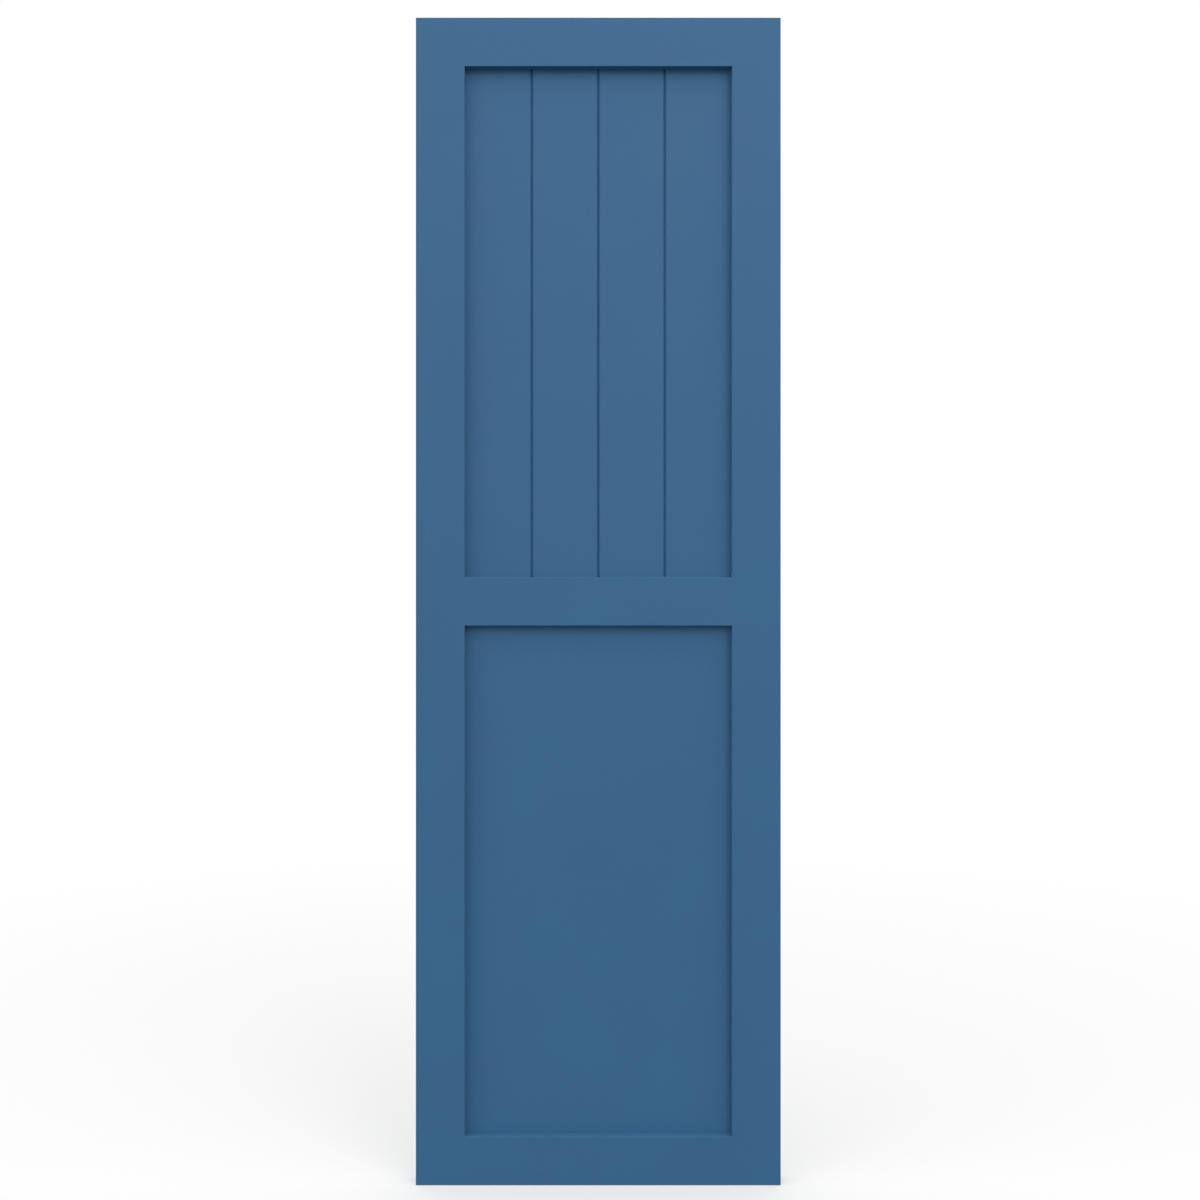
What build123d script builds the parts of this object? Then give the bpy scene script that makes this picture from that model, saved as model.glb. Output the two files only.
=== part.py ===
# Panel shutter for a house window, one leaf, fixed flat against the wall.
# Two stiles and three rails make a frame. Its upper opening holds upright
# tongue-and-groove boards, and its lower opening holds one flat panel.
# Millimetres. The back lies in the plane y = 0, against the wall, and the front faces -Y.
# The origin is the centre of the middle rail's back, with +Z up.

import os

from build123d import *

# Frame members
stile_width = 50.8
top_rail_height = 50.8
middle_rail_height = 50.8
bottom_rail_height = 50.8
frame_thickness = 25.4
edge_radius = 0.5  # every exposed edge of the joined frame is sanded to this

# Openings, which set the height of the leaf
upper_opening_height = 533.4
lower_opening_height = 533.4

# Boards and panel, and the groove that holds their edges
board_count = 4
board_cover_width = 69.85  # from joint to joint, which sets the width of the leaf
panel_thickness = 9.525
panel_setback = 9.525  # of the panel faces behind the frame's front
groove_depth = 9.525
panel_edge_gap = 1.5  # room for a panel to swell, at the bottom of the groove

# Joint between two boards
bevel_width = 1.75  # on each board, so a joint shows a V twice as wide
bevel_depth = 2.2
tongue_setback = 3.9  # of the tongue behind the board's face
tongue_thickness = 3.0
tongue_length = 6.0
tongue_nose = 0.6  # bevel on the tongue's tip
tongue_side_play = 0.15
tongue_end_gap = 0.8
back_lip_gap = 0.4  # taken off both boards behind the tongue, so the face closes first

# Places that follow from the sizes
opening_width = board_count * board_cover_width
shutter_width = opening_width + 2 * stile_width
middle_rail_bottom = -middle_rail_height / 2
middle_rail_top = middle_rail_height / 2
upper_opening_top = middle_rail_top + upper_opening_height
shutter_top = upper_opening_top + top_rail_height
lower_opening_bottom = middle_rail_bottom - lower_opening_height
shutter_bottom = lower_opening_bottom - bottom_rail_height
shutter_height = shutter_top - shutter_bottom
panel_front = frame_thickness - panel_setback  # from the wall to the panel's face
panel_back = panel_front - panel_thickness
panel_reach = groove_depth - panel_edge_gap  # of a panel's edge into its groove

wall = Plane.XZ  # its normal is -Y, out of the wall towards the front
groove_plane = wall.offset(panel_back)


def middle(low, high):
    return (low + high) / 2


# The joined frame as one blank, so that its sanded edges run round each opening
with BuildPart() as frame_blank:
    with BuildSketch(wall):
        with Locations((0, middle(shutter_bottom, shutter_top))):
            Rectangle(shutter_width, shutter_height)
        with Locations((0, middle(middle_rail_top, upper_opening_top))):
            Rectangle(opening_width, upper_opening_height, mode=Mode.SUBTRACT)
        with Locations((0, middle(lower_opening_bottom, middle_rail_bottom))):
            Rectangle(opening_width, lower_opening_height, mode=Mode.SUBTRACT)
    extrude(amount=frame_thickness)
    face_edges = frame_blank.edges().filter_by(Axis.Y, reverse=True)
    outer_corners = frame_blank.edges().filter_by(
        lambda edge: abs(edge.center().X) > opening_width / 2 + edge_radius
    ).filter_by(Axis.Y)
    fillet(face_edges + outer_corners, radius=edge_radius)


def make_stile(side):
    # side is -1 for the left one and 1 for the right one, seen from the front.
    inner_edge = side * opening_width / 2
    with BuildPart() as member:
        add(frame_blank.part)
        split(
            bisect_by=Plane.YZ.offset(inner_edge),
            keep=Keep.TOP if side > 0 else Keep.BOTTOM,
        )
        # The groove runs from end to end, and the rails' tenons fill it where they meet.
        with BuildSketch(groove_plane):
            with Locations(
                (inner_edge + side * groove_depth / 2, middle(shutter_bottom, shutter_top))
            ):
                Rectangle(groove_depth, shutter_height)
        extrude(amount=panel_thickness, mode=Mode.SUBTRACT)
    return member


with BuildPart() as rail_blanks:
    add(frame_blank.part)
    split(bisect_by=Plane.YZ.offset(-opening_width / 2), keep=Keep.TOP)
    split(bisect_by=Plane.YZ.offset(opening_width / 2), keep=Keep.BOTTOM)
bottom_blank, middle_blank, top_blank = rail_blanks.solids().sort_by(Axis.Z)


def make_rail(blank, low, high, grooves_from):
    # low and high are the rail's edges. The tenons at its ends reach to the bottom
    # of the stiles' grooves. grooves_from lists where each of its own grooves starts.
    with BuildPart() as member:
        add(blank)
        with BuildSketch(groove_plane):
            with Locations((0, middle(low, high))):
                Rectangle(opening_width + 2 * groove_depth, high - low)
        extrude(amount=panel_thickness)
        # The grooves run through the tenons too, so a panel's corner fits there.
        with BuildSketch(groove_plane):
            with Locations(*((0, start + groove_depth / 2) for start in grooves_from)):
                Rectangle(opening_width + 2 * groove_depth, groove_depth)
        extrude(amount=panel_thickness, mode=Mode.SUBTRACT)
    return member


def make_board(number):
    # number counts from 0 at the left. The outer edges of the first and the
    # last board go into the stiles' grooves, and the others are jointed.
    first = number == 0
    last = number == board_count - 1
    left_joint = -opening_width / 2 + number * board_cover_width
    right_joint = left_joint + board_cover_width
    left_edge = left_joint - panel_reach if first else left_joint
    right_edge = right_joint + panel_reach if last else right_joint
    face = -panel_front
    back = -panel_back
    tongue_front = face + tongue_setback
    tongue_back = tongue_front + tongue_thickness
    socket_depth = tongue_length + tongue_end_gap
    lip_start = tongue_back + tongue_side_play

    with BuildPart() as board:
        with BuildSketch(Plane.XY.offset(middle_rail_top - panel_reach)):
            with Locations((middle(left_edge, right_edge), middle(face, back))):
                Rectangle(right_edge - left_edge, panel_thickness)
            if not last:
                Polygon(
                    (right_joint, tongue_front),
                    (right_joint + tongue_length - tongue_nose, tongue_front),
                    (right_joint + tongue_length, tongue_front + tongue_nose),
                    (right_joint + tongue_length, tongue_back - tongue_nose),
                    (right_joint + tongue_length - tongue_nose, tongue_back),
                    (right_joint, tongue_back),
                    align=None,
                )
                Polygon(
                    (right_joint, face),
                    (right_joint, face + bevel_depth),
                    (right_joint - bevel_width, face),
                    align=None,
                    mode=Mode.SUBTRACT,
                )
                with Locations((right_joint - back_lip_gap / 2, middle(tongue_back, back))):
                    Rectangle(back_lip_gap, back - tongue_back, mode=Mode.SUBTRACT)
            if not first:
                with Locations((left_joint + socket_depth / 2, middle(tongue_front, tongue_back))):
                    Rectangle(
                        socket_depth, tongue_thickness + 2 * tongue_side_play, mode=Mode.SUBTRACT
                    )
                Polygon(
                    (left_joint, face),
                    (left_joint + bevel_width, face),
                    (left_joint, face + bevel_depth),
                    align=None,
                    mode=Mode.SUBTRACT,
                )
                with Locations((left_joint + back_lip_gap / 2, middle(lip_start, back))):
                    Rectangle(back_lip_gap, back - lip_start, mode=Mode.SUBTRACT)
        extrude(amount=upper_opening_height + 2 * panel_reach)
    return board


with BuildPart() as flat_panel:
    with BuildSketch(groove_plane):
        with Locations((0, middle(lower_opening_bottom, middle_rail_bottom))):
            Rectangle(opening_width + 2 * panel_reach, lower_opening_height + 2 * panel_reach)
    extrude(amount=panel_thickness)

pieces = {
    "left_stile": make_stile(-1),
    "right_stile": make_stile(1),
    "bottom_rail": make_rail(
        bottom_blank,
        shutter_bottom,
        lower_opening_bottom,
        [lower_opening_bottom - groove_depth],
    ),
    "middle_rail": make_rail(
        middle_blank,
        middle_rail_bottom,
        middle_rail_top,
        [middle_rail_bottom, middle_rail_top - groove_depth],
    ),
    "top_rail": make_rail(top_blank, upper_opening_top, shutter_top, [upper_opening_top]),
    "flat_panel": flat_panel,
}
for number in range(board_count):
    pieces[f"board_{number + 1}"] = make_board(number)

os.makedirs("parts", exist_ok=True)
for name, piece in pieces.items():
    piece.part.label = name
    export_step(piece.part, f"parts/{name}.step")
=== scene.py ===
import math

import bpy
import numpy as np
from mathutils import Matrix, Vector


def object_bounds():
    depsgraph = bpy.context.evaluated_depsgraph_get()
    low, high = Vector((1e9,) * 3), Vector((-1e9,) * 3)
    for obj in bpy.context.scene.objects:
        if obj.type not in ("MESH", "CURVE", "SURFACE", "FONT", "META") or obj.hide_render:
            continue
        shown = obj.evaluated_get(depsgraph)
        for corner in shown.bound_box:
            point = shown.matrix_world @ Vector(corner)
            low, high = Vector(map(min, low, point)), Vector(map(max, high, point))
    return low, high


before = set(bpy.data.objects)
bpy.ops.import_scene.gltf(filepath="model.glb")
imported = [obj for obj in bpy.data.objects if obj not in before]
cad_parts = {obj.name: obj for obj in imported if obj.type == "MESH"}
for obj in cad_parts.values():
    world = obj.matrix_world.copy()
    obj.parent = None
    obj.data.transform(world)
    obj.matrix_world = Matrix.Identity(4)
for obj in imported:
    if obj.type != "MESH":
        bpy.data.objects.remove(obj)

# A painted panel shutter, photographed straight on in a pale studio.
# Metres, +Z up. The shutter's back is at y = 0 and its front faces -Y.
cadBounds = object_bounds()
print("shutter loaded:", ", ".join(sorted(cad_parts)))


class Wire:  # a socket of a node tree, so that shader maths reads as plain sums
    def __init__(self, graph, socket):
        self.graph = graph
        self.socket = socket

    def combine(self, operation, first, second):
        maths = self.graph.node("ShaderNodeMath", {"operation": operation}, {0: first, 1: second})
        return maths["Value"]

    def __add__(self, other):
        return self.combine("ADD", self, other)

    def __radd__(self, other):
        return self.combine("ADD", other, self)

    def __sub__(self, other):
        return self.combine("SUBTRACT", self, other)

    def __rsub__(self, other):
        return self.combine("SUBTRACT", other, self)

    def __mul__(self, other):
        return self.combine("MULTIPLY", self, other)

    def __rmul__(self, other):
        return self.combine("MULTIPLY", other, self)

    def __or__(self, other):  # the larger of the two, which is "or" for masks
        return self.combine("MAXIMUM", self, other)

    def __ror__(self, other):
        return self.combine("MAXIMUM", other, self)


class Graph:  # the node tree of a material or of the world, started afresh
    def __init__(self, owner):
        owner.use_nodes = True
        self.tree = owner.node_tree
        self.tree.nodes.clear()

    def node(self, kind, settings={}, values={}):
        # values names each socket, or numbers it where two share a name. Gives back the outputs.
        made = self.tree.nodes.new(kind)
        for name, setting in settings.items():
            setattr(made, name, setting)
        live = {each.name: each for each in reversed(made.inputs) if each.enabled}
        for name, value in values.items():
            socket = made.inputs[name] if isinstance(name, int) else live[name]
            if isinstance(value, Wire):
                self.tree.links.new(value.socket, socket)
            else:
                socket.default_value = value
        return {each.name: Wire(self, each) for each in made.outputs if each.enabled}

    def noise(self, place, size, detail=2.0):  # size is about one blob, in metres
        return self.node(
            "ShaderNodeTexNoise",
            {"noise_dimensions": "3D"},
            {"Vector": place, "Scale": 1 / size, "Detail": detail},
        )["Fac"]


noiseMiddle = 0.5  # a noise runs from 0 to 1, about this value

paintLook = {
    "colour": (0.021, 0.1106, 0.2388),  # satin slate blue, as linear light
    "colourDrift": 0.06,  # most that the paint is lighter or darker, as a share
    "driftSize": 0.11,  # of the clouds in the paint film
    "driftDetail": 4.0,  # how finely their edges break up
    "roughness": 0.68,
    "roughnessDrift": 0.08,  # between the smoothest patch and the roughest
    "haze": 0.04,  # pale scatter of a satin film, which shows at low angles
    "hazeRoughness": 0.5,
    "peelSize": 0.0014,  # orange peel left by the spray gun
    "peelDepth": 0.00012,
    "dragWidth": 0.0006,  # sanding lines under the paint, along each piece
    "dragLength": 0.045,
    "dragDepth": 0.00005,
}


def shade(colour, share):  # lighter by a share of itself, or darker where the share is negative
    return tuple(part * (1 + share) for part in colour) + (1.0,)


def makePaint(name, runsUp):
    # Sprayed satin paint. runsUp says whether the piece under it stands upright or lies across.
    material = bpy.data.materials.new(name)
    graph = Graph(material)
    place = graph.node("ShaderNodeTexCoord")["Object"]
    cloud = graph.noise(place, paintLook["driftSize"], paintLook["driftDetail"])
    peel = graph.noise(place, paintLook["peelSize"])
    across, along = 1 / paintLook["dragWidth"], 1 / paintLook["dragLength"]
    stretched = graph.node(
        "ShaderNodeMapping",
        {"vector_type": "POINT"},
        {"Vector": place, "Scale": (across, across, along) if runsUp else (along, across, across)},
    )["Vector"]
    drag = graph.noise(stretched, 1.0)  # its blobs are stretched to size already

    colour = graph.node(
        "ShaderNodeMix",
        {"data_type": "RGBA"},
        {
            "Factor": cloud,
            "A": shade(paintLook["colour"], -paintLook["colourDrift"]),
            "B": shade(paintLook["colour"], paintLook["colourDrift"]),
        },
    )["Result"]
    roughness = paintLook["roughness"] + paintLook["roughnessDrift"] * (cloud - noiseMiddle)
    relief = peel * paintLook["peelDepth"] + drag * paintLook["dragDepth"]
    normal = graph.node(  # relief is in metres, so it isn't scaled here
        "ShaderNodeBump", {}, {"Height": relief, "Strength": 1.0, "Distance": 1.0}
    )["Normal"]
    shader = graph.node(
        "ShaderNodeBsdfPrincipled",
        {},
        {
            "Base Color": colour,
            "Roughness": roughness,
            "Normal": normal,
            "Sheen Weight": paintLook["haze"],
            "Sheen Roughness": paintLook["hazeRoughness"],
        },
    )["BSDF"]
    graph.node("ShaderNodeOutputMaterial", {}, {"Surface": shader})
    return material


uprightPaint = makePaint("uprightPaint", runsUp=True)
railPaint = makePaint("railPaint", runsUp=False)
for name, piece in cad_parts.items():
    piece.material_slots[0].material = railPaint if name.endswith("_rail") else uprightPaint
print("pieces painted:", len(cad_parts))


studio = {
    "floorReach": 9.0,  # from the middle of the floor to each of its sides
    "floorLines": 13,  # of points across it, each way
    "floorGap": 0.0002,  # under the shutter's foot
    "floorColour": 0.68,
    "floorBounce": 0.13,  # what the floor sends back up at the shutter
    "shadowShare": 0.6,  # how much of the floor's own shading shows near the shutter
    "shadowReach": (0.5, 2.2),  # where the floor starts and ends turning plain white
    "ambient": 1.15,
    "white": 1.0,  # the strength that the camera sees as plain white
}


def grey(level):
    return (level, level, level, 1.0)


def viewRays(graph):  # 1 for what the camera sees, and 1 for what gloss or glass shows
    rays = graph.node("ShaderNodeLightPath")
    return rays["Is Camera Ray"], rays["Is Glossy Ray"] | rays["Is Transmission Ray"]


def addSurface(name, points):
    # points is a grid, rows by columns by xyz, and a face joins each four neighbours.
    rows, columns = points.shape[:2]
    index = np.arange(rows * columns).reshape(rows, columns)
    corners = (index[:-1, :-1], index[1:, :-1], index[1:, 1:], index[:-1, 1:])
    faces = np.stack([each.ravel() for each in corners], axis=1)
    mesh = bpy.data.meshes.new(name)
    mesh.from_pydata(points.reshape(-1, 3), [], faces)
    made = bpy.data.objects.new(name, mesh)
    bpy.context.scene.collection.objects.link(made)
    return made


def makeFloor():
    # A level sheet just under the shutter's foot: x and y are its two parameters.
    steps = np.linspace(-studio["floorReach"], studio["floorReach"], studio["floorLines"])
    x, y = np.meshgrid(steps, steps, indexing="ij")
    height = np.full_like(x, cadBounds[0].z - studio["floorGap"])
    floor = addSurface("studioFloor", np.stack([x, y, height], axis=-1))

    material = bpy.data.materials.new("paleFloor")
    graph = Graph(material)
    place = graph.node("ShaderNodeTexCoord")["Object"]
    distance = graph.node("ShaderNodeVectorMath", {"operation": "LENGTH"}, {0: place})["Value"]
    near, far = studio["shadowReach"]
    plain = graph.node(
        "ShaderNodeMapRange",
        {"interpolation_type": "SMOOTHSTEP"},
        {
            "Value": distance,
            "From Min": near,
            "From Max": far,
            "To Min": 1 - studio["shadowShare"],
            "To Max": 1.0,
        },
    )["Result"]
    seen, mirrored = viewRays(graph)
    tone = graph.node(
        "ShaderNodeMix",
        {"data_type": "RGBA"},
        {"Factor": seen, "A": grey(studio["floorBounce"]), "B": grey(studio["floorColour"])},
    )["Result"]
    matt = graph.node("ShaderNodeBsdfDiffuse", {}, {"Color": tone})["BSDF"]
    white = graph.node("ShaderNodeEmission", {}, {"Strength": studio["white"]})["Emission"]
    both = graph.node(
        "ShaderNodeMixShader", {}, {0: mirrored | seen * plain, 1: matt, 2: white}
    )["Shader"]
    graph.node("ShaderNodeOutputMaterial", {}, {"Surface": both})
    floor.data.materials.append(material)


def makeWorld():
    world = bpy.data.worlds.new("paleStudio")
    bpy.context.scene.world = world
    graph = Graph(world)
    seen, mirrored = viewRays(graph)
    dim, white = (
        graph.node("ShaderNodeBackground", {}, {"Strength": strength, "Color": grey(1.0)})
        for strength in (studio["ambient"], studio["white"])
    )
    both = graph.node(
        "ShaderNodeMixShader",
        {},
        {0: seen | mirrored, 1: dim["Background"], 2: white["Background"]},
    )["Shader"]
    graph.node("ShaderNodeOutputWorld", {}, {"Surface": both})


makeFloor()
makeWorld()
print("floor and white backdrop made")


softBoxes = {
    "width": 2.4,  # each box is square
    "distance": 4.5,  # from the middle of the shutter, at which they all point
    "lamps": {  # degrees to the right of straight in front, degrees up, and watts
        "keyBox": (30, 35, 48.0),
        "rightTop": (40, 65, 20.6),
        "leftTop": (-60, 65, 27.2),
        "leftFill": (-60, 5, 21.4),
    },
}


def addSoftBox(name, turn, rise, watts):
    lamp = bpy.data.lights.new(name, "AREA")
    lamp.shape = "SQUARE"
    lamp.size = softBoxes["width"]
    lamp.energy = watts
    turn, rise = math.radians(turn), math.radians(rise)
    outward = Vector(  # from the shutter to the box, one metre long
        (math.sin(turn) * math.cos(rise), -math.cos(turn) * math.cos(rise), math.sin(rise))
    )
    made = bpy.data.objects.new(name, lamp)
    made.location = outward * softBoxes["distance"]
    made.rotation_euler = outward.to_track_quat("Z", "Y").to_euler()
    made.visible_camera = False
    bpy.context.scene.collection.objects.link(made)


for name, lamp in softBoxes["lamps"].items():
    addSoftBox(name, *lamp)
print("soft boxes lit:", len(softBoxes["lamps"]))


cameraSet = {
    "place": (0.0018, -1.4654, 0.0015),  # level and square to the shutter, near its middle
    "frameWidth": 1.2528,  # across the picture at the shutter's front face
    "sensor": 36.0,  # millimetres, as the lens length is
}


def makeCamera():
    camera = bpy.data.cameras.new("camera")
    distance = cadBounds[0].y - cameraSet["place"][1]
    camera.sensor_width = cameraSet["sensor"]
    camera.lens = cameraSet["sensor"] * distance / cameraSet["frameWidth"]
    made = bpy.data.objects.new("camera", camera)
    made.location = cameraSet["place"]
    made.rotation_euler = (math.pi / 2, 0.0, 0.0)  # level, and looking along +Y
    bpy.context.scene.collection.objects.link(made)
    bpy.context.scene.camera = made


makeCamera()
bpy.context.scene.view_settings.view_transform = "Standard"
print("camera set")
